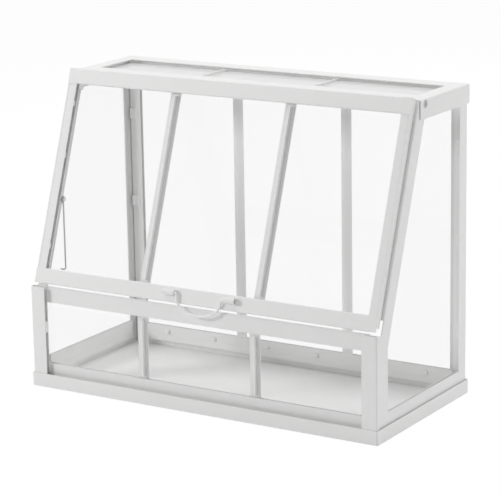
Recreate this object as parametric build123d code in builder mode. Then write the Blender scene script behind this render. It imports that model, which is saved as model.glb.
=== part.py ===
from build123d import *
import math
import os

os.makedirs("parts", exist_ok=True)

# A table-top greenhouse of folded, powder-coated steel with clear plastic panes.
# Millimetres. X runs across the front, -Y is the front and Z is up.
# The origin lies under the middle of the tray.

# Overall sizes
tray_width = 450.0
tray_depth = 214.0
tray_height = 15.6
front_height = 117.3
roof_height = 351.1
roof_depth = 114.9

# Sheet steel, panes and their clearances
sheet = 1.0
bend_radius = 1.0
pane_thickness = 1.5
pane_clearance = 0.1
pane_play = 0.15
pane_tuck = 6.0
tab_length = 13.0

# Tray
tray_wall = 1.2
tray_floor = 1.0
tray_corner = 2.2
tray_edge = 0.4
tray_clearance = 0.4

# Front and rear panels
stile_width = 18.3
rear_stile_width = 14.5
rear_stile_inset = 1.6
stile_depth = 6.0
stile_lap = 4.0
front_rail = 18.2
rear_rail = 21.0
rail_lip = 11.0
sill_height = 27.0
sill_pocket = 14.0
sill_lip = 6.0
tongue_width = 9.0
tongue_height = 13.0
tongue_rise = 2.0
tongue_gap = 4.0
tongue_heights = (116.0, 218.0, 318.0)
tab_heights = (70.5,)

# Glazing bars
bar_width = 13.0
bar_stem = 1.6
bar_stem_height = 4.8
bar_lead = 1.6
bar_ridge = 1.0
stem_gap = 3.0
front_bars = (-74.8, 71.0)
rear_bars = (-75.0, 68.0)
roof_bars = (-73.3, 73.3)
lid_bars = (-74.1, 74.1)

# Side frames
side_inset = 1.0
side_flange = 11.5
side_sill_height = 29.0
front_post_width = 20.1
rear_post_width = 17.9
rear_setback = 0.3
sloped_post_width = 18.7
sloped_flange = 9.0
narrow_flange = 3.8
side_rail = 21.0
shoulder_drop = 0.8
flange_foot = 14.0
flange_head_gap = 24.0

# Roof
roof_overhang = 1.5
roof_front_width = 28.0
roof_rear_width = 22.4
roof_side = 18.0
roof_fascia = 21.2
roof_lip = 7.0
roof_pane_drop = 4.5
roof_ledge = 4.5
roof_web_inset = 6.0
access_hole = 4.3

# Lid
lid_set_in = 3.3
lid_gap = 4.3
lid_top_rise = 4.1
lid_top_gap = 10.5
lid_side_gap = 2.1
lid_rest_gap = 1.3
lid_rail = 17.4
lid_stile = 11.5
lid_hem = 1.1
lid_wall_depth = 9.0
lid_pane_depth = 4.0
lid_stile_foot = 4.5
lid_rail_lip = 13.0
lid_tab_length = 6.0
lid_tab_heights = (40.0, 145.0, 205.0)

# Lid hinge
pivot_setback = 10.4
pivot_drop = 4.3
pin_radius = 2.0
pin_clearance = 0.05
rivet_head = 3.5
rivet_head_height = 1.2
rivet_dish = 1.8
rivet_dish_depth = 0.5
tail_head = 3.2
tail_height = 1.0
arm_thickness = 1.2
arm_boss = 4.0
arm_width = 5.0
arm_lead = 1.0
arm_drop = 13.0
arm_foot = 6.0
arm_gap = 0.1
arm_slot = 0.3
washer_radius = 4.0

# Handle
wire_radius = 1.4
wire_clearance = 0.1
handle_height = 10.8
handle_offset = 2.0
handle_span = 60.0
handle_drop = 22.5
handle_bend = 3.0
handle_turn = 60.0
handle_lean = 8.0
handle_stand = 4.0
saddle_wall = 1.8
saddle_length = 15.0
saddle_gap = 1.6
saddle_dish = 2.4
saddle_dish_depth = 2.0
wire_end = 11.0

# Stay
stay_height = 98.5
stay_stand = 3.0
stay_wire = 0.9
stay_pin = 1.3
stay_eye = 3.2
stay_length = 83.0
stay_bend = 3.0
stay_foot = 4.0
stay_head = 2.3
stay_gap = 0.3
notch_height = 67.0
notch_radius = 1.3
notch_depth = 3.0
ear_height = 10.0

# Places worked out from the sizes above
half_sheet = sheet / 2
bend_inner = bend_radius - half_sheet
pane_gap = bend_inner + pane_clearance
pane_seat = sheet + pane_gap
house_half = tray_width / 2 - tray_wall - tray_clearance
house_front = -tray_depth / 2 + tray_wall + tray_clearance
house_rear = -house_front
side_half = house_half - side_inset
side_front = house_front + stile_depth
side_rear = house_rear - rear_setback
roof_under = roof_height - sheet
roof_rear = house_rear + roof_overhang
roof_front = roof_rear - roof_depth
roof_half = side_half + roof_overhang
rail_face = stile_depth + half_sheet
pane_depth = stile_depth + sheet + pane_play
bar_depth = pane_depth + pane_thickness + pane_play
rail_back = bar_depth + sheet + half_sheet
post_inner = side_front + front_post_width
rear_inner = side_rear - rear_post_width
shoulder = front_height - shoulder_drop
side_back = sheet + pane_thickness + 2 * pane_play + half_sheet
side_rail_foot = roof_under - side_rail

front = Plane(origin=(0, house_front, 0), x_dir=(1, 0, 0), z_dir=(0, -1, 0))
rear = Plane(origin=(0, side_rear - sheet, 0), x_dir=(-1, 0, 0), z_dir=(0, 1, 0))
side = Plane(origin=(side_half, 0, 0), x_dir=(0, 1, 0), z_dir=(1, 0, 0))
roof = Plane(origin=(0, 0, roof_height), x_dir=(1, 0, 0), z_dir=(0, 0, 1))

lid_foot_y = house_front + lid_set_in
lid_foot_z = front_height + lid_gap
lid_run = roof_front - lid_top_gap - lid_foot_y
lid_rise = roof_height + lid_top_rise - lid_foot_z
lid_length = math.hypot(lid_run, lid_rise)
lid_sin = lid_run / lid_length
lid_cos = lid_rise / lid_length
lid = Plane(origin=(0, lid_foot_y, lid_foot_z), x_dir=(1, 0, 0), z_dir=(0, -lid_cos, lid_sin))
lid_half = side_half - lid_side_gap
lid_inner = lid_half - lid_stile
lid_bar_depth = lid_pane_depth + pane_thickness + pane_play
lid_depth = lid_bar_depth + 2 * sheet
lid_wall = lid_half - lid_hem - half_sheet
side_edge_depth = lid_wall_depth + lid_rest_gap
pane_edge_depth = side_edge_depth + sloped_post_width

pivot_y = roof_front + pivot_setback
pivot_z = roof_under - pivot_drop
pivot_depth = (pivot_y - lid_foot_y) * lid_cos - (pivot_z - lid_foot_z) * lid_sin
pivot_height = (pivot_y - lid_foot_y) * lid_sin + (pivot_z - lid_foot_z) * lid_cos
arm_outer = lid_wall - half_sheet
arm_inner = arm_outer - arm_thickness

stay_depth = lid_depth + stay_stand
ear_face = lid_inner
eye_outer = ear_face - stay_gap
eye_inner = eye_outer - 2 * stay_wire


# The place on the side frame, at a given height, of a line parallel to the lid
def slope_y(height, depth):
    climb = (height - lid_foot_z + depth * lid_sin) / lid_cos
    return lid_foot_y + climb * lid_sin + depth * lid_cos


# The height at which a line parallel to the lid reaches a given place on the side frame
def slope_z(place, depth):
    climb = (place - lid_foot_y - depth * lid_cos) / lid_sin
    return lid_foot_z + climb * lid_cos - depth * lid_sin


# A plane across a member that runs up a window: x along its width, y into its depth
def across_upright(window, u, v):
    return Plane(origin=window.from_local_coords((u, v, 0)), x_dir=window.x_dir, z_dir=window.y_dir)


# A plane across a member that runs along a window: x up its height, y into its depth
def across_level(window, u, v):
    return Plane(origin=window.from_local_coords((u, v, 0)), x_dir=window.y_dir, z_dir=-window.x_dir)


# A rectangle between two corners, in the sketch being drawn
def strip(low, high):
    with Locations((low[0], low[1])):
        Rectangle(high[0] - low[0], high[1] - low[1], align=(Align.MIN, Align.MIN))


# A folded sheet along its middle line, in the sketch being drawn
def fold(*points):
    with BuildLine() as middle:
        FilletPolyline(*points, radius=bend_radius)
    trace(middle.line, line_width=sheet)


def save(builder, name):
    builder.part.label = name
    export_step(builder.part, f"parts/{name}.step")


# The right-hand piece and its mirror image on the left
def save_pair(builder, name):
    save(builder, f"right_{name}")
    with BuildPart() as twin:
        mirror(builder.part, about=Plane.YZ)
    save(twin, f"left_{name}")


# T-section bars: the flange lies behind the panes, the stem stands out between them and the back is ridged
def glazing_bars(name, window, places, foot, head, stem_foot, stem_head, depth):
    back = depth + sheet
    for place in places:
        low = place - bar_lead - bar_width / 2
        high = place - bar_lead + bar_width / 2
        with BuildPart() as bar:
            with BuildSketch(across_upright(window, 0, foot)):
                strip((low, depth), (high, back))
            extrude(amount=head - foot)
            with BuildSketch(across_upright(window, 0, stem_foot)):
                strip((place - bar_stem / 2, depth - bar_stem_height), (place + bar_stem / 2, depth))
                with BuildLine():
                    Polyline((low, back), (high, back), (place, back + bar_ridge), close=True)
                make_face()
            extrude(amount=stem_head - stem_foot)
        hand = "right" if place * window.x_dir.X > 0 else "left"
        save(bar, f"{hand}_{name}_bar")


# Three panes between the two sides and the two bars of a window
def glazing(name, window, places, far, foot, head, depth):
    gap = bar_stem / 2 + pane_gap
    lows = (-far, places[0] + gap, places[1] + gap)
    highs = (places[0] - gap, places[1] - gap, far)
    hands = ("left", "middle", "right") if window.x_dir.X > 0 else ("right", "middle", "left")
    for hand, low, high in zip(hands, lows, highs):
        with BuildPart() as pane:
            with BuildSketch(window.offset(-depth - pane_thickness)):
                strip((low, foot), (high, head))
            extrude(amount=pane_thickness)
        save(pane, f"{hand}_{name}_pane")


# Front and rear panels: channel stiles that open towards the panes, and pocket rails that lap behind them
def glazed_panel(name, window, places, outer, inner, top, rail, tabs, tongues):
    hand = window.x_dir.X
    pane_end = inner + stile_lap
    rail_end = pane_end + sheet
    with BuildPart() as stile:
        with BuildSketch(across_upright(window, 0, tray_floor)):
            fold(
                (hand * inner, half_sheet),
                (hand * (outer - half_sheet), half_sheet),
                (hand * (outer - half_sheet), stile_depth - half_sheet),
                (hand * inner, stile_depth - half_sheet),
            )
        extrude(amount=top - tray_floor)
        for height in tabs:
            with BuildSketch(across_upright(window, 0, height - tab_length / 2)):
                with Locations((hand * (inner + half_sheet), stile_depth / 2)):
                    Rectangle(sheet, stile_depth - sheet)
            extrude(amount=tab_length)
        for height in tongues:
            with BuildSketch(window.offset(-stile_depth - tongue_rise)):
                with Locations((hand * (pane_end + pane_gap + tongue_width / 2), height)):
                    Rectangle(tongue_width, tongue_height)
                    with Locations((hand * (tongue_width - tongue_gap) / 2, 0)):
                        Rectangle(tongue_gap, tongue_gap, mode=Mode.SUBTRACT)
            extrude(amount=tongue_rise)
    save_pair(stile, f"{name}_stile")
    with BuildPart() as top_rail:
        with BuildSketch(across_level(window, rail_end, 0)):
            fold(
                (top - rail, rail_face),
                (top - half_sheet, rail_face),
                (top - half_sheet, rail_back),
                (top - rail_lip, rail_back),
            )
        extrude(amount=2 * rail_end)
    save(top_rail, f"{name}_top_rail")
    with BuildPart() as sill:
        with BuildSketch(across_level(window, rail_end, 0)):
            strip((tray_floor, stile_depth), (sill_height, stile_depth + sheet))
            fold(
                (sill_pocket + half_sheet, rail_face),
                (sill_pocket + half_sheet, rail_back),
                (sill_height, rail_back),
            )
            strip((sill_pocket - sill_lip, rail_back - half_sheet), (sill_pocket + sheet, rail_back + sheet))
        extrude(amount=2 * rail_end)
    save(sill, f"{name}_sill")
    foot = sill_pocket + pane_seat
    head = top - pane_seat
    stem_foot = sill_height + stem_gap
    stem_head = top - rail - stem_gap
    glazing_bars(name, window, places, foot, head, stem_foot, stem_head, bar_depth)
    glazing(name, window, places, pane_end, foot, head, pane_depth)


# Tray: a shallow pan whose rim stands around the walls
with BuildPart() as tray:
    with BuildSketch():
        RectangleRounded(tray_width, tray_depth, tray_corner)
    extrude(amount=tray_height)
    with BuildSketch(Plane.XY.offset(tray_floor)):
        RectangleRounded(tray_width - 2 * tray_wall, tray_depth - 2 * tray_wall, tray_corner - tray_wall)
    extrude(amount=tray_height, mode=Mode.SUBTRACT)
    fillet(tray.faces().sort_by(Axis.Z)[-1].edges(), radius=tray_edge)
save(tray, "tray")

glazed_panel(
    "front",
    front,
    front_bars,
    house_half,
    house_half - stile_width,
    front_height,
    front_rail,
    tab_heights,
    (),
)
rear_outer = side_half - rear_stile_inset
glazed_panel(
    "rear",
    rear,
    rear_bars,
    rear_outer,
    rear_outer - rear_stile_width,
    roof_under,
    rear_rail,
    (),
    tongue_heights,
)

# Side frames: the front post's flange lies behind the front stile
with BuildPart() as front_post:
    with BuildSketch(across_upright(side, 0, tray_floor)):
        fold(
            (post_inner, half_sheet),
            (side_front + half_sheet, half_sheet),
            (side_front + half_sheet, side_flange),
        )
    extrude(amount=shoulder - tray_floor)
    with BuildSketch(side.offset(-sheet)):
        with BuildLine():
            Polyline(
                (post_inner, slope_z(post_inner, pane_edge_depth)),
                (post_inner, shoulder),
                (slope_y(shoulder, pane_edge_depth), shoulder),
                close=True,
            )
        make_face()
    extrude(amount=sheet)
save_pair(front_post, "front_post")

# The sloped post follows the lid, with a flange behind the lid's edge that narrows where the lid turns
with BuildPart() as sloped_post:
    with BuildSketch(across_upright(lid, side_half, -lid_length / 2)):
        fold(
            (-half_sheet, side_edge_depth + sloped_post_width),
            (-half_sheet, side_edge_depth + half_sheet),
            (-sloped_flange, side_edge_depth + half_sheet),
        )
    extrude(amount=2 * lid_length)
    split(bisect_by=Plane.XY.offset(shoulder), keep=Keep.TOP)
    split(bisect_by=Plane.XY.offset(roof_under), keep=Keep.BOTTOM)
    with BuildSketch(lid.offset(-side_edge_depth - 2 * sheet)):
        flange_head = lid_length - flange_head_gap
        strip((side_half - 2 * sloped_flange, -lid_length / 2), (side_half - sheet, flange_foot))
        strip((side_half - 2 * sloped_flange, flange_head), (side_half - narrow_flange, 2 * lid_length))
    extrude(amount=3 * sheet, mode=Mode.SUBTRACT)
    with Locations(Plane(origin=(side_half, pivot_y, pivot_z), z_dir=(1, 0, 0))):
        Hole(radius=pin_radius + pin_clearance, depth=2 * sheet)
save(sloped_post, "right_sloped_post")

# The left flange also has a notch in its free edge, where the stay's foot stands
with BuildPart() as left_sloped_post:
    mirror(sloped_post.part, about=Plane.YZ)
    with BuildSketch(lid.offset(-side_edge_depth - 2 * sheet)):
        with Locations((sloped_flange - side_half, notch_height)):
            SlotOverall(2 * notch_depth, 2 * notch_radius)
    extrude(amount=3 * sheet, mode=Mode.SUBTRACT)
save(left_sloped_post, "left_sloped_post")

# The rear post's flange laps over the rear stile from outside
with BuildPart() as rear_post:
    with BuildSketch(across_upright(side, 0, tray_floor)):
        fold(
            (rear_inner, half_sheet),
            (side_rear - half_sheet, half_sheet),
            (side_rear - half_sheet, side_flange),
        )
    extrude(amount=roof_under - tray_floor)
save_pair(rear_post, "rear_post")

with BuildPart() as side_sill:
    with BuildSketch(across_level(side, rear_inner, 0)):
        strip((tray_floor, 0), (side_sill_height, sheet))
        fold(
            (sill_pocket + half_sheet, half_sheet),
            (sill_pocket + half_sheet, side_back),
            (side_sill_height, side_back),
        )
        strip((sill_pocket - sill_lip, side_back - half_sheet), (sill_pocket + sheet, side_back + sheet))
    extrude(amount=rear_inner - post_inner)
save_pair(side_sill, "side_sill")

with BuildPart() as side_top_rail:
    with BuildSketch(side.offset(-sheet)):
        with BuildLine():
            Polyline(
                (slope_y(side_rail_foot, pane_edge_depth), side_rail_foot),
                (rear_inner, side_rail_foot),
                (rear_inner, roof_under),
                (slope_y(roof_under, pane_edge_depth), roof_under),
                close=True,
            )
        make_face()
    extrude(amount=sheet)
save_pair(side_top_rail, "side_top_rail")

# Each side has one pane, tucked behind its frame all round
with BuildPart() as side_pane:
    pane_front = post_inner - pane_tuck
    pane_slope = pane_edge_depth - pane_tuck
    pane_top = side_rail_foot + pane_tuck
    pane_foot = sill_pocket + pane_seat
    with BuildSketch(side.offset(-sheet - pane_play - pane_thickness)):
        with BuildLine():
            Polyline(
                (pane_front, pane_foot),
                (pane_front, slope_z(pane_front, pane_slope)),
                (slope_y(pane_top, pane_slope), pane_top),
                (rear_inner + pane_tuck, pane_top),
                (rear_inner + pane_tuck, pane_foot),
                close=True,
            )
        make_face()
    extrude(amount=pane_thickness)
save_pair(side_pane, "side_pane")

# Roof cap: fascias hang outside the walls, and ledges carry the panes below the rails
ledge_depth = roof_pane_drop + pane_thickness + pane_play
ledge_back = ledge_depth + sheet
window_front = roof_front + roof_front_width
window_rear = roof_rear - roof_rear_width
window_half = roof_half - roof_side
web_front = window_front - roof_web_inset
web_rear = window_rear + roof_web_inset
web_half = window_half + roof_web_inset

with BuildPart() as roof_side_rail:
    with BuildSketch(across_upright(roof, 0, roof_front)):
        fold(
            (roof_half - half_sheet, roof_fascia),
            (roof_half - half_sheet, half_sheet),
            (window_half, half_sheet),
        )
    extrude(amount=roof_depth)
    with BuildSketch(across_upright(roof, 0, window_front)):
        fold(
            (web_half + 2 * bend_radius, half_sheet),
            (web_half + half_sheet, half_sheet),
            (web_half + half_sheet, ledge_back - half_sheet),
            (window_half - roof_ledge, ledge_back - half_sheet),
        )
    extrude(amount=window_rear - window_front)
    with Locations(Plane(origin=(roof_half, pivot_y, pivot_z), z_dir=(1, 0, 0))):
        Hole(radius=access_hole, depth=2 * sheet)
save_pair(roof_side_rail, "roof_side")

with BuildPart() as roof_front_rail:
    with BuildSketch(across_level(roof, window_half, 0)):
        fold(
            (roof_front + half_sheet, roof_lip),
            (roof_front + half_sheet, half_sheet),
            (window_front, half_sheet),
        )
    extrude(amount=2 * window_half)
    with BuildSketch(across_level(roof, window_half - roof_ledge, 0)):
        fold(
            (web_front - 2 * bend_radius, half_sheet),
            (web_front - half_sheet, half_sheet),
            (web_front - half_sheet, ledge_back - half_sheet),
            (window_front + roof_ledge, ledge_back - half_sheet),
        )
    extrude(amount=2 * (window_half - roof_ledge))
save(roof_front_rail, "roof_front_rail")

with BuildPart() as roof_rear_rail:
    with BuildSketch(across_level(roof, window_half, 0)):
        fold(
            (roof_rear - half_sheet, roof_fascia),
            (roof_rear - half_sheet, half_sheet),
            (window_rear, half_sheet),
        )
    extrude(amount=2 * window_half)
    with BuildSketch(across_level(roof, window_half - roof_ledge, 0)):
        fold(
            (web_rear + 2 * bend_radius, half_sheet),
            (web_rear + half_sheet, half_sheet),
            (web_rear + half_sheet, ledge_back - half_sheet),
            (window_rear - roof_ledge, ledge_back - half_sheet),
        )
    extrude(amount=2 * (window_half - roof_ledge))
    with BuildSketch(across_level(roof, roof_half - sheet, 0)):
        strip((roof_rear - sheet, sheet + bend_inner), (roof_rear, roof_fascia))
    extrude(amount=2 * (roof_half - sheet))
save(roof_rear_rail, "roof_rear_rail")

glazing_bars(
    "roof",
    roof,
    roof_bars,
    window_front + roof_ledge,
    window_rear - roof_ledge,
    window_front + stem_gap,
    window_rear - stem_gap,
    ledge_depth,
)
glazing(
    "roof",
    roof,
    roof_bars,
    web_half - pane_gap,
    web_front + pane_gap,
    web_rear - pane_gap,
    roof_pane_drop,
)

# Lid: the rails' faces lap over the channel stiles, and their pockets hold panes and bars
with BuildPart() as lid_stile_part:
    with BuildSketch(across_upright(lid, 0, lid_stile_foot)):
        fold(
            (lid_inner, sheet + half_sheet),
            (lid_wall, sheet + half_sheet),
            (lid_wall, lid_depth - half_sheet),
            (lid_inner, lid_depth - half_sheet),
        )
        strip((lid_wall, sheet), (lid_half, 2 * sheet))
        strip((arm_outer, lid_pane_depth), (arm_outer + sheet, lid_wall_depth))
    extrude(amount=lid_length - lid_stile_foot)
    for height in lid_tab_heights:
        with BuildSketch(across_upright(lid, 0, height)):
            strip((lid_inner, sheet + half_sheet), (lid_inner + sheet, lid_pane_depth - pane_play))
        extrude(amount=lid_tab_length)
    # The back of the channel is slotted where the hinge arm passes
    with BuildSketch(lid.offset(-lid_depth - sheet)):
        slot_foot = pivot_height - arm_drop - arm_foot - arm_slot
        strip((arm_inner - arm_slot, slot_foot), (arm_outer, lid_length + sheet))
    extrude(amount=2 * sheet + pane_gap, mode=Mode.SUBTRACT)
save(lid_stile_part, "right_lid_stile")

# The left stile also carries the ear of the stay
with BuildPart() as left_lid_stile:
    mirror(lid_stile_part.part, about=Plane.YZ)
    with BuildSketch(Plane.YZ.offset(-lid_inner - sheet)):
        ear_foot = lid.from_local_coords((0, stay_height, -lid_depth + sheet))
        ear_tip = lid.from_local_coords((0, stay_height, -stay_depth))
        with BuildLine():
            Line((ear_foot.Y, ear_foot.Z), (ear_tip.Y, ear_tip.Z))
        trace(line_width=ear_height)
        with Locations((ear_tip.Y, ear_tip.Z)):
            Circle(ear_height / 2)
            Circle(stay_pin + pin_clearance, mode=Mode.SUBTRACT)
    extrude(amount=sheet)
save(left_lid_stile, "left_lid_stile")


def lid_cross_rail(name, edge, inward):
    with BuildPart() as rail:
        inner_edge = edge + inward * (lid_rail - half_sheet)
        outer_edge = edge + inward * half_sheet
        with BuildSketch(across_level(lid, lid_inner, 0)):
            fold(
                (inner_edge, lid_pane_depth - pane_play),
                (inner_edge, half_sheet),
                (outer_edge, half_sheet),
                (outer_edge, lid_depth - half_sheet),
                (edge + inward * lid_rail_lip, lid_depth - half_sheet),
            )
        extrude(amount=2 * lid_inner)
        with BuildSketch(lid.offset(-sheet)):
            with Locations((0, edge + inward * lid_rail / 2)):
                Rectangle(2 * lid_half, lid_rail)
                Rectangle(2 * lid_inner, lid_rail, mode=Mode.SUBTRACT)
        extrude(amount=sheet)
    save(rail, name)


lid_cross_rail("lid_bottom_rail", 0, 1)
lid_cross_rail("lid_top_rail", lid_length, -1)
glazing_bars(
    "lid",
    lid,
    lid_bars,
    pane_seat,
    lid_length - pane_seat,
    lid_rail + stem_gap,
    lid_length - lid_rail - stem_gap,
    lid_bar_depth,
)
glazing("lid", lid, lid_bars, lid_inner + stile_lap, pane_seat, lid_length - pane_seat, lid_pane_depth)

# Hinge arms: each hooks back under the roof edge to its pivot, clear of the roof as the lid lifts
with BuildPart() as hinge_arm:
    arm_plane = Plane(
        origin=lid.from_local_coords((arm_inner, pivot_height, -pivot_depth)),
        x_dir=lid.y_dir,
        z_dir=(1, 0, 0),
    )
    arm_back = arm_width - arm_lead
    arm_front = pivot_depth - 2 * sheet - bend_radius
    with BuildSketch(arm_plane):
        Circle(arm_boss)
        strip((-arm_drop - arm_foot, -arm_back), (0, arm_lead))
        strip((-arm_drop - arm_foot, -arm_back), (-arm_drop, arm_front))
    extrude(amount=arm_thickness)
    with Locations(Plane(origin=(arm_outer, pivot_y, pivot_z), z_dir=(1, 0, 0))):
        Hole(radius=pin_radius + pin_clearance, depth=2 * arm_thickness)
save_pair(hinge_arm, "hinge_arm")

# Hinge rivets, with a dished head under the fascia's access hole, and their washers
pivot_section = Plane(origin=(0, pivot_y, pivot_z), x_dir=(1, 0, 0), z_dir=(0, 0, 1))
pivot_axis = Axis((0, pivot_y, pivot_z), (1, 0, 0))
with BuildPart() as hinge_rivets:
    with BuildSketch(pivot_section):
        head_end = side_half + rivet_head_height
        tail_end = arm_inner - arm_gap - tail_height
        strip((tail_end, 0), (tail_end + tail_height, tail_head))
        strip((tail_end, 0), (side_half, pin_radius))
        strip((side_half, 0), (head_end, rivet_head))
        with Locations((head_end, 0)):
            Rectangle(2 * rivet_dish_depth, 2 * rivet_dish, mode=Mode.SUBTRACT)
    revolve(axis=pivot_axis)
    mirror(about=Plane.YZ)
save(hinge_rivets, "hinge_rivets")

with BuildPart() as hinge_washers:
    with BuildSketch(Plane(origin=(arm_outer + arm_gap, pivot_y, pivot_z), z_dir=(1, 0, 0))):
        Circle(washer_radius)
        Circle(pin_radius + pin_clearance, mode=Mode.SUBTRACT)
    extrude(amount=side_half - sheet - arm_outer - arm_gap)
    mirror(about=Plane.YZ)
save(hinge_washers, "hinge_washers")

# Handle: a drop bail whose ends turn in two saddles on the lid's bottom rail
saddle_bore = wire_radius + wire_clearance
saddle_radius = saddle_bore + saddle_wall
handle_half = handle_span / 2
saddle_start = handle_half + saddle_gap
saddle_end = saddle_start + saddle_length
saddle_places = (
    ("left", -saddle_start, saddle_dish_depth - saddle_end),
    ("right", saddle_end, saddle_end),
)
for hand, right_end, mouth in saddle_places:
    with BuildPart() as saddle:
        with BuildSketch(across_level(lid, handle_offset + right_end, 0)):
            with Locations((handle_height, -handle_stand)):
                Circle(saddle_radius)
            strip((handle_height - saddle_radius, -handle_stand), (handle_height + saddle_radius, 0))
            with Locations((handle_height, saddle_radius)):
                Rectangle(3 * saddle_radius, 2 * saddle_radius, mode=Mode.SUBTRACT)
            with Locations((handle_height, -handle_stand)):
                Circle(saddle_bore, mode=Mode.SUBTRACT)
        extrude(amount=saddle_length)
        with BuildSketch(across_level(lid, handle_offset + mouth, 0)):
            with Locations((handle_height, -handle_stand)):
                Circle(saddle_dish)
        extrude(amount=saddle_dish_depth, mode=Mode.SUBTRACT)
    save(saddle, f"{hand}_handle_saddle")

handle_axis = lid.from_local_coords((handle_offset, handle_height, handle_stand))
lean = math.radians(handle_lean)
bail_plane = Plane(origin=handle_axis, x_dir=(1, 0, 0), z_dir=(0, -math.cos(lean), math.sin(lean)))
turn_cos = math.cos(math.radians(handle_turn))
turn_sin = math.sin(math.radians(handle_turn))
arc_half = handle_half - handle_bend / 2
arc_drop = handle_drop - handle_bend
leg_radius = (arc_drop - (1 - turn_sin) * arc_half / turn_cos) / (
    turn_sin - (1 - turn_sin) * (1 - turn_cos) / turn_cos
)
foot_radius = (arc_half - leg_radius * (1 - turn_cos)) / turn_cos
with BuildPart() as handle:
    with BuildLine(bail_plane):
        start = Line((-handle_half - saddle_gap - wire_end, 0), (-arc_half - handle_bend, 0))
        drop = JernArc(start=start @ 1, tangent=(1, 0), radius=handle_bend, arc_size=-90)
        leg = JernArc(start=drop @ 1, tangent=drop % 1, radius=leg_radius, arc_size=handle_turn)
        foot = JernArc(start=leg @ 1, tangent=leg % 1, radius=foot_radius, arc_size=180 - 2 * handle_turn)
        rise = JernArc(start=foot @ 1, tangent=foot % 1, radius=leg_radius, arc_size=handle_turn)
        turn = JernArc(start=rise @ 1, tangent=rise % 1, radius=handle_bend, arc_size=-90)
        Line(turn @ 1, (handle_half + saddle_gap + wire_end, 0))
    with BuildSketch(Plane(origin=start @ 0, z_dir=(1, 0, 0))):
        Circle(wire_radius)
    sweep()
save(handle, "handle_bail")

# Stay: a wire that hangs from its pin inside the lid and props the lid open
stay_axis = lid.from_local_coords((0, stay_height, -stay_depth))
with BuildPart() as stay_pin_part:
    with BuildSketch(Plane(origin=(-ear_face - sheet, stay_axis.Y, stay_axis.Z), z_dir=(1, 0, 0))):
        Circle(stay_pin)
    extrude(amount=sheet + 2 * stay_gap + 2 * stay_wire)
    with BuildSketch(Plane(origin=(-eye_inner + stay_gap, stay_axis.Y, stay_axis.Z), z_dir=(1, 0, 0))):
        Circle(stay_head)
    extrude(amount=sheet)
    with BuildSketch(Plane(origin=(-ear_face - sheet, stay_axis.Y, stay_axis.Z), z_dir=(-1, 0, 0))):
        Circle(stay_head)
    extrude(amount=sheet)
save(stay_pin_part, "stay_pin")

with BuildPart() as stay:
    stay_x = -(eye_outer + eye_inner) / 2
    with BuildSketch(Plane(origin=(-eye_outer, stay_axis.Y, stay_axis.Z), z_dir=(1, 0, 0))):
        Circle(stay_eye)
        Circle(stay_pin + wire_clearance, mode=Mode.SUBTRACT)
    extrude(amount=2 * stay_wire)
    wire_top = stay_axis.Z - (stay_eye + stay_pin) / 2
    wire_foot = stay_axis.Z - stay_length
    with BuildLine():
        FilletPolyline(
            (stay_x, stay_axis.Y, wire_top),
            (stay_x, stay_axis.Y, wire_foot),
            (stay_x - stay_bend - stay_foot, stay_axis.Y, wire_foot),
            radius=stay_bend,
        )
    with BuildSketch(Plane(origin=(stay_x, stay_axis.Y, wire_top), z_dir=(0, 0, -1))):
        Circle(stay_wire)
    sweep()
save(stay, "stay_wire")
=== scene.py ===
import math

import bpy
import numpy as np
from mathutils import Euler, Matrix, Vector


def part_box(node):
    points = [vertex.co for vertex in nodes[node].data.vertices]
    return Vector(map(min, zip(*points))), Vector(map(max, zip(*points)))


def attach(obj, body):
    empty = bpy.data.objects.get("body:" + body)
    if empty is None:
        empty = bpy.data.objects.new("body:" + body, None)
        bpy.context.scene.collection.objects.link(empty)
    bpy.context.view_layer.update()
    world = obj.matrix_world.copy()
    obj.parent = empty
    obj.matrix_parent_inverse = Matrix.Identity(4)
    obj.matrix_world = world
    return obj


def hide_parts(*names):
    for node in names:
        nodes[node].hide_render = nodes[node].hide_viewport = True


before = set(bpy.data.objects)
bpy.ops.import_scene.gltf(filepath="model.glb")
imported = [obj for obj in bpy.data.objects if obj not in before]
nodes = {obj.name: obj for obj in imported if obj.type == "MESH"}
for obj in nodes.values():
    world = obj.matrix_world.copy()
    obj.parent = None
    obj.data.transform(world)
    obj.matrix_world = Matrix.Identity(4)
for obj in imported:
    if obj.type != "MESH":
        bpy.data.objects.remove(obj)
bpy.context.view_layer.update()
print("frame loaded:", len(nodes), "nodes")


# small helpers for node trees

def addNode(tree, kind, **settings):
    node = tree.nodes.new(kind)
    for name, value in settings.items():
        setattr(node, name, value)
    return node


def link(tree, source, target):
    tree.links.new(source, target)


def newMaterial(name):
    material = bpy.data.materials.new(name)
    material.use_nodes = True
    tree = material.node_tree
    tree.nodes.clear()
    output = addNode(tree, "ShaderNodeOutputMaterial")
    coords = addNode(tree, "ShaderNodeTexCoord").outputs["Object"]
    return material, tree, output, coords


def noise(tree, coords, scale, detail):
    node = addNode(tree, "ShaderNodeTexNoise")
    node.inputs["Scale"].default_value = scale
    node.inputs["Detail"].default_value = detail
    link(tree, coords, node.inputs["Vector"])
    return node.outputs["Fac"]


def ramp(tree, value, low, high):
    # maps 0..1 onto low..high
    node = addNode(tree, "ShaderNodeMapRange")
    node.inputs["To Min"].default_value = low
    node.inputs["To Max"].default_value = high
    link(tree, value, node.inputs["Value"])
    return node.outputs["Result"]


def blendColours(tree, value, first, second):
    node = addNode(tree, "ShaderNodeMix", data_type="RGBA")
    node.inputs["A"].default_value = (*first, 1)
    node.inputs["B"].default_value = (*second, 1)
    link(tree, value, node.inputs["Factor"])
    return node.outputs["Result"]


def bump(tree, height, depth, normal=None):
    node = addNode(tree, "ShaderNodeBump")
    node.inputs["Distance"].default_value = depth
    link(tree, height, node.inputs["Height"])
    if normal is not None:
        link(tree, normal, node.inputs["Normal"])
    return node.outputs["Normal"]


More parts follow.
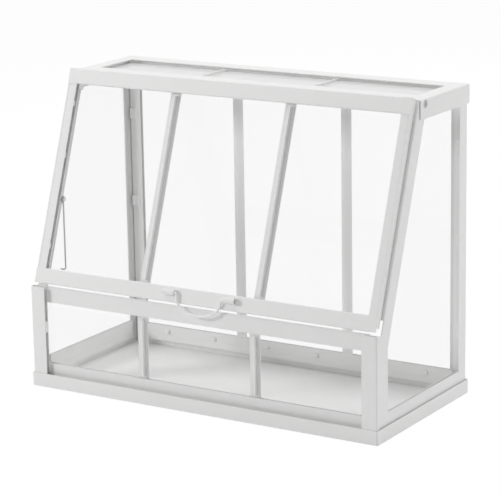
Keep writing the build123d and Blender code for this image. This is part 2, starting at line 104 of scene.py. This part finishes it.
def combine(tree, operation, first, second):
    node = addNode(tree, "ShaderNodeMath", operation=operation)
    link(tree, first, node.inputs[0])
    link(tree, second, node.inputs[1])
    return node.outputs[0]


def mixShaders(tree, share, first, second):
    # share 0 gives the first shader, share 1 the second
    node = addNode(tree, "ShaderNodeMixShader")
    for source, target in zip((share, first, second), node.inputs):
        link(tree, source, target)
    return node.outputs[0]


def dress(material, names):
    for name in names:
        mesh = nodes[name].data
        mesh.materials.clear()
        mesh.materials.append(material)


# white powder coat: even colour with a faint cloudiness, a fine orange peel
# and a slow waviness of the thin sheet
coat = {
    "light": (0.93, 0.93, 0.925),
    "dark": (0.90, 0.90, 0.895),
    "wireLight": (0.95, 0.95, 0.945),
    "wireDark": (0.92, 0.92, 0.915),
    "wireSheen": (0.22, 0.34),
    "sheen": (0.34, 0.46),
    "cloudScale": 14.0,
    "cloudDetail": 4.0,
    "sheenScale": 60.0,
    "sheenDetail": 2.0,
    "peelScale": 1100.0,
    "peelDepth": 0.00002,
    "waveScale": 9.0,
    "waveDepth": 0.0006,
    "reliefDetail": 1.0,
}


def makeCoat(name, light, dark, sheen):
    material, tree, output, coords = newMaterial(name)
    shader = addNode(tree, "ShaderNodeBsdfPrincipled")
    cloud = noise(tree, coords, coat["cloudScale"], coat["cloudDetail"])
    patches = noise(tree, coords, coat["sheenScale"], coat["sheenDetail"])
    waves = noise(tree, coords, coat["waveScale"], coat["reliefDetail"])
    peel = noise(tree, coords, coat["peelScale"], coat["reliefDetail"])
    link(tree, blendColours(tree, cloud, dark, light), shader.inputs["Base Color"])
    link(tree, ramp(tree, patches, *sheen), shader.inputs["Roughness"])
    wavy = bump(tree, waves, coat["waveDepth"])
    link(tree, bump(tree, peel, coat["peelDepth"], wavy), shader.inputs["Normal"])
    link(tree, shader.outputs[0], output.inputs["Surface"])
    return material


# clear plastic pane: see-through with a gloss that grows at flat angles, faint flow lines and a little dust
# the roof's panes carry a white film that is a painted reflection of the white surround, which shows at
# flat angles and hardly from above
pane = {
    "tint": (0.988, 0.988, 0.988),
    "ior": 1.45,
    "gloss": (0.03, 0.10),
    "filmRange": (0.0, 0.02),
    "filmBlend": 0.7,
    "roofIor": 1.2,
    # the roof's film is a painted reflection of the white surround
    "roofPaintedReflection": (0.92, 1.0),
    "roofReflectionBlend": 0.8,
    "filmColour": (0.96, 0.96, 0.96),
    "speckScale": 35.0,
    "speckDetail": 5.0,
    "flowScale": 16.0,
    "flowDetail": 1.0,
    "flowDepth": 0.00004,
}


def makePane(name, ior, filmRange, filmBlend):
    material, tree, output, coords = newMaterial(name)
    clear = addNode(tree, "ShaderNodeBsdfTransparent")
    clear.inputs["Color"].default_value = (*pane["tint"], 1)
    flow = bump(tree, noise(tree, coords, pane["flowScale"], pane["flowDetail"]), pane["flowDepth"])
    specks = noise(tree, coords, pane["speckScale"], pane["speckDetail"])
    gloss = addNode(tree, "ShaderNodeBsdfGlossy")
    link(tree, ramp(tree, specks, *pane["gloss"]), gloss.inputs["Roughness"])
    link(tree, flow, gloss.inputs["Normal"])
    film = addNode(tree, "ShaderNodeBsdfDiffuse")
    film.inputs["Color"].default_value = (*pane["filmColour"], 1)
    # the film's share grows at flat angles; on the roof panes this film is a painted reflection
    slant = addNode(tree, "ShaderNodeLayerWeight")
    slant.inputs["Blend"].default_value = filmBlend
    filmShare = combine(tree, "MULTIPLY", ramp(tree, specks, *filmRange), slant.outputs["Facing"])
    filmed = mixShaders(tree, filmShare, clear.outputs[0], film.outputs[0])
    edge = addNode(tree, "ShaderNodeFresnel")
    edge.inputs["IOR"].default_value = ior
    link(tree, flow, edge.inputs["Normal"])
    shiny = mixShaders(tree, edge.outputs[0], filmed, gloss.outputs[0])
    # only the outer faces shine, so that no light is caught inside the sheet
    inside = addNode(tree, "ShaderNodeNewGeometry").outputs["Backfacing"]
    faces = mixShaders(tree, inside, shiny, clear.outputs[0])
    # light on its way into the house passes straight through
    path = addNode(tree, "ShaderNodeLightPath").outputs
    passing = combine(tree, "MAXIMUM", path["Is Diffuse Ray"], path["Is Shadow Ray"])
    link(tree, mixShaders(tree, passing, faces, clear.outputs[0]), output.inputs["Surface"])
    return material


# zinc plated wire, rivets and washers: dull metal with fine drawing marks
zinc = {
    "light": (0.60, 0.61, 0.62),
    "dark": (0.47, 0.48, 0.49),
    "metal": 0.85,
    "rough": (0.30, 0.48),
    "markScale": 420.0,
    "markDetail": 3.0,
    "markDepth": 0.00003,
}


def makeZinc():
    material, tree, output, coords = newMaterial("zincSteel")
    shader = addNode(tree, "ShaderNodeBsdfPrincipled")
    shader.inputs["Metallic"].default_value = zinc["metal"]
    marks = noise(tree, coords, zinc["markScale"], zinc["markDetail"])
    link(tree, blendColours(tree, marks, zinc["dark"], zinc["light"]), shader.inputs["Base Color"])
    link(tree, ramp(tree, marks, *zinc["rough"]), shader.inputs["Roughness"])
    link(tree, bump(tree, marks, zinc["markDepth"]), shader.inputs["Normal"])
    link(tree, shader.outputs[0], output.inputs["Surface"])
    return material


whiteCoat = makeCoat("whiteCoat", coat["light"], coat["dark"], coat["sheen"])


# new coated pieces of the house

def addPiece(name, points, faces):
    mesh = bpy.data.meshes.new(name)
    mesh.from_pydata(points.reshape(-1, 3).tolist(), [], faces)
    mesh.materials.append(whiteCoat)
    piece = bpy.data.objects.new(name, mesh)
    bpy.context.collection.objects.link(piece)
    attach(piece, "house")
    return piece


# pane clips: small pressed bumps on the rear sill's inner face, one pair below each pane
clips = {
    "places": (-0.171, -0.105, -0.031, 0.036, 0.109, 0.178),
    "height": 0.0195,
    "halfWidth": 0.0035,
    "halfHeight": 0.0026,
    "proud": 0.0026,
    "sunk": 0.0003,
    "lip": 0.0005,
    "steps": 9,
}


def makeClips():
    # a square grid u, v from -1 to 1 rises from the sill by proud times (1 - u^4)(1 - v^4)
    # its border lies just inside the sill and is closed by a fan of triangles from a middle point
    steps = clips["steps"]
    u, v = np.meshgrid(np.linspace(-1, 1, steps), np.linspace(-1, 1, steps))
    rise = (1 - u ** 4) * (1 - v ** 4) * (clips["proud"] + clips["sunk"]) - clips["sunk"]
    # the middle point comes last, after the points of the grid
    u, v = np.append(u, 0), np.append(v, 0)
    rise = np.append(rise, -clips["sunk"])
    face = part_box("rear_sill")[0][1] + clips["lip"]
    places = np.array(clips["places"])[:, None]
    across = places + clips["halfWidth"] * u
    up = clips["height"] + clips["halfHeight"] * v
    points = np.stack(np.broadcast_arrays(across, face - rise, up), axis=-1)
    grid = np.arange(steps * steps).reshape(steps, steps)
    quads = np.stack([grid[:-1, :-1], grid[:-1, 1:], grid[1:, 1:], grid[1:, :-1]], axis=-1).reshape(-1, 4)
    border = np.concatenate([grid[0, :-1], grid[:-1, -1], grid[-1, :0:-1], grid[:0:-1, 0]])
    fan = np.stack([np.roll(border, -1), border, np.full(len(border), grid.size)], axis=1)
    shift = (np.arange(len(places)) * len(u))[:, None, None]
    fronts = (quads + shift).reshape(-1, 4)
    backs = (fan + shift).reshape(-1, 3)
    piece = addPiece("paneClips", points, fronts.tolist() + backs.tolist())
    piece.data.polygons.foreach_set("use_smooth", np.arange(len(fronts) + len(backs)) < len(fronts))


# rear stiles: channels of folded sheet, open towards the panes
stiles = {"sheet": 0.0010, "bend": 0.0015, "depth": 0.0060, "bendSteps": 7}


def makeStile(name, node, hand):
    # a centre line with two round bends, widened by half the sheet to each side, is carried straight up
    low, high = (np.array(corner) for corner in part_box(node))
    inner = min(abs(low[0]), abs(high[0]))
    half, bend = stiles["sheet"] / 2, stiles["bend"]
    web = high[0] - low[0] - half
    first = np.linspace(-math.pi / 2, 0, stiles["bendSteps"])
    turn = np.concatenate([first, first + math.pi / 2])
    middle = np.repeat([half + bend, stiles["depth"] - half - bend], stiles["bendSteps"])
    outwards = np.concatenate([[(0, -1)], np.stack([np.cos(turn), np.sin(turn)], axis=1), [(0, 1)]])
    line = np.stack([np.full(len(turn), web - bend), middle], axis=1) + bend * outwards[1:-1]
    line = np.concatenate([[(0, half)], line, [(0, stiles["depth"] - half)]])
    ring = np.concatenate([line + half * outwards, (line - half * outwards)[::-1]])
    count = len(ring)
    across, back = hand * (inner + ring[:, 0]), high[1] - ring[:, 1]
    ends = [np.stack([across, back, np.full(count, z)], axis=1) for z in (low[2], high[2])]
    place = np.arange(count)
    following = (place + 1) % count
    quads = np.stack([place, following, following + count, place + count], axis=1)[:, ::-hand]
    caps = [place[::hand].tolist(), (place + count)[::-hand].tolist()]
    piece = addPiece(name, np.concatenate(ends), quads.tolist() + caps)
    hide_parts(node)


# hook tongues lanced from the rear stiles: rooted at the inner end and lifted at the outer, free end
tongues = {
    "heights": (0.0715, 0.1775, 0.2835),
    "halfHeight": 0.0062,
    "length": 0.0085,
    "start": 0.0026,
    "thick": 0.0012,
    "lift": 0.0005,
    "rise": 0.0032,
    "steps": 13,
}


def makeTongue(name, hand, height):
    # t runs from 0 at the free end to 1 at the root
    # the strip stands off from the stile by lift plus rise times (1 - t) cubed
    steps = tongues["steps"]
    t = np.linspace(0, 1, steps)
    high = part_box("right_rear_stile")[1]
    across = hand * (high[0] - tongues["start"] - tongues["length"] * t)
    near = high[1] - stiles["depth"] - tongues["lift"] - tongues["rise"] * (1 - t) ** 3
    far = near + tongues["thick"]
    foot, head = height - tongues["halfHeight"], height + tongues["halfHeight"]
    ring = [(near, foot), (near, head), (far, head), (far, foot)]
    points = np.stack([np.stack([across, y, np.full(steps, z)], axis=1) for y, z in ring], axis=1)
    corner = np.arange(len(ring))
    station = np.arange(steps - 1)[:, None] * len(ring)
    place = (station + corner).ravel()
    following = (station + np.roll(corner, -1)).ravel()
    quads = np.stack([place, following, following + len(ring), place + len(ring)], axis=1)
    caps = np.stack([corner[::-1], corner + (steps - 1) * len(ring)])
    addPiece(name, points, np.concatenate([quads, caps])[:, ::hand].tolist())


makeClips()
for side, hand in (("left", -1), ("right", 1)):
    makeStile(f"{side}RearStile", f"{side}_rear_stile", hand)
    for index, height in enumerate(tongues["heights"]):
        makeTongue(f"{side}Tongue{index}", hand, height)
print("new pieces made")

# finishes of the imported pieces
roofNames = [name for name in nodes if name.endswith("_roof_pane")]
paneNames = [name for name in nodes if name.endswith("_pane") and name not in roofNames]
zincNames = ["hinge_rivets", "hinge_washers", "stay_wire"]
wireNames = ["handle_bail", "stay_pin"]
coatNames = [name for name in nodes if name not in paneNames + roofNames + zincNames + wireNames]
dress(whiteCoat, coatNames)
dress(makeCoat("wireCoat", coat["wireLight"], coat["wireDark"], coat["wireSheen"]), wireNames)
dress(makePane("clearPane", pane["ior"], pane["filmRange"], pane["filmBlend"]), paneNames)
dress(makePane("roofPane", pane["roofIor"], pane["roofPaintedReflection"], pane["roofReflectionBlend"]), roofNames)
dress(makeZinc(), zincNames)
print(
    "finishes on:", len(coatNames + wireNames), "coated,", len(paneNames + roofNames), "clear,",
    len(zincNames), "zinc pieces",
)

# camera, at the photograph's angle
view = {
    "azimuth": 31.84,
    "elevation": 13.955,
    "roll": -0.972,
    "target": (0.00551, -0.00016, 0.16275),
    "distance": 2.5176,
    "focalPixels": 2250.5,
    "imagePixels": 500,
    "sensor": 36.0,
}


def makeCamera():
    camera = bpy.data.cameras.new("camera")
    camera.sensor_width = view["sensor"]
    camera.lens = view["focalPixels"] / view["imagePixels"] * view["sensor"]
    azimuth, elevation, roll = (math.radians(view[name]) for name in ("azimuth", "elevation", "roll"))
    turn = Euler((math.pi / 2 - elevation, 0, azimuth)).to_matrix()
    turn = turn @ Euler((0, 0, roll)).to_matrix()
    eye = bpy.data.objects.new("camera", camera)
    eye.matrix_world = turn.to_4x4()
    eye.location = Vector(view["target"]) + turn.col[2] * view["distance"]
    bpy.context.collection.objects.link(eye)
    bpy.context.scene.camera = eye


makeCamera()
print("camera set")

# studio: an even white surround, four soft boxes and a pale floor that keeps the shadow
studio = {
    "surround": 0.40,
    "seenSurround": 1.0,
    "floorSize": 24.0,
    "floorColour": (0.88, 0.88, 0.88),
    "floorGlow": 1.02,
    "floorShare": 0.06,
    "boxes": (
        {"name": "keyBox", "at": (-1.70, -1.60, 1.08), "size": 0.46, "power": 19.5},
        {"name": "sideBox", "at": (1.9, 0.85, 0.7), "size": 1.2, "power": 10.0},
        {"name": "topBox", "at": (-0.2, -0.1, 2.2), "size": 1.4, "power": 14.5},
        {"name": "backBox", "at": (0.0, 1.8, 1.3), "size": 1.6, "power": 14.0},
    ),
    "aim": (0.0, 0.0, 0.16),
}


def seenDirectly(tree):
    # 1 for rays that show the surround to the eye, in glass or in a gloss
    path = addNode(tree, "ShaderNodeLightPath").outputs
    mirrored = combine(tree, "MAXIMUM", path["Is Glossy Ray"], path["Is Transmission Ray"])
    return combine(tree, "MAXIMUM", path["Is Camera Ray"], mirrored)


def makeSurround():
    world = bpy.data.worlds.new("surround")
    bpy.context.scene.world = world
    world.use_nodes = True
    tree = world.node_tree
    tree.nodes.clear()
    background = addNode(tree, "ShaderNodeBackground")
    strength = ramp(tree, seenDirectly(tree), studio["surround"], studio["seenSurround"])
    link(tree, strength, background.inputs["Strength"])
    link(tree, background.outputs[0], addNode(tree, "ShaderNodeOutputWorld").inputs["Surface"])


def makeFloor():
    half = studio["floorSize"] / 2
    mesh = bpy.data.meshes.new("floor")
    corners = np.array([(-1, -1, 0), (1, -1, 0), (1, 1, 0), (-1, 1, 0)]) * half
    mesh.from_pydata(corners.tolist(), [], [(0, 1, 2, 3)])
    floor = bpy.data.objects.new("floor", mesh)
    bpy.context.collection.objects.link(floor)
    material, tree, output, _ = newMaterial("paleFloor")
    plain = addNode(tree, "ShaderNodeBsdfDiffuse")
    plain.inputs["Color"].default_value = (*studio["floorColour"], 1)
    white = addNode(tree, "ShaderNodeEmission")
    white.inputs["Strength"].default_value = studio["floorGlow"]
    share = addNode(tree, "ShaderNodeMixShader")
    share.inputs[0].default_value = studio["floorShare"]
    link(tree, white.outputs[0], share.inputs[1])
    link(tree, plain.outputs[0], share.inputs[2])
    pick = mixShaders(tree, seenDirectly(tree), plain.outputs[0], share.outputs[0])
    link(tree, pick, output.inputs["Surface"])
    mesh.materials.append(material)


def makeBoxes():
    for box in studio["boxes"]:
        lamp = bpy.data.lights.new(box["name"], "AREA")
        lamp.size = box["size"]
        lamp.energy = box["power"]
        holder = bpy.data.objects.new(box["name"], lamp)
        holder.location = box["at"]
        holder.visible_glossy = False
        aim = Vector(studio["aim"]) - Vector(box["at"])
        holder.rotation_euler = aim.to_track_quat("-Z", "Y").to_euler()
        bpy.context.collection.objects.link(holder)


makeSurround()
makeFloor()
makeBoxes()
bpy.context.scene.view_settings.view_transform = "Standard"
print("studio set")
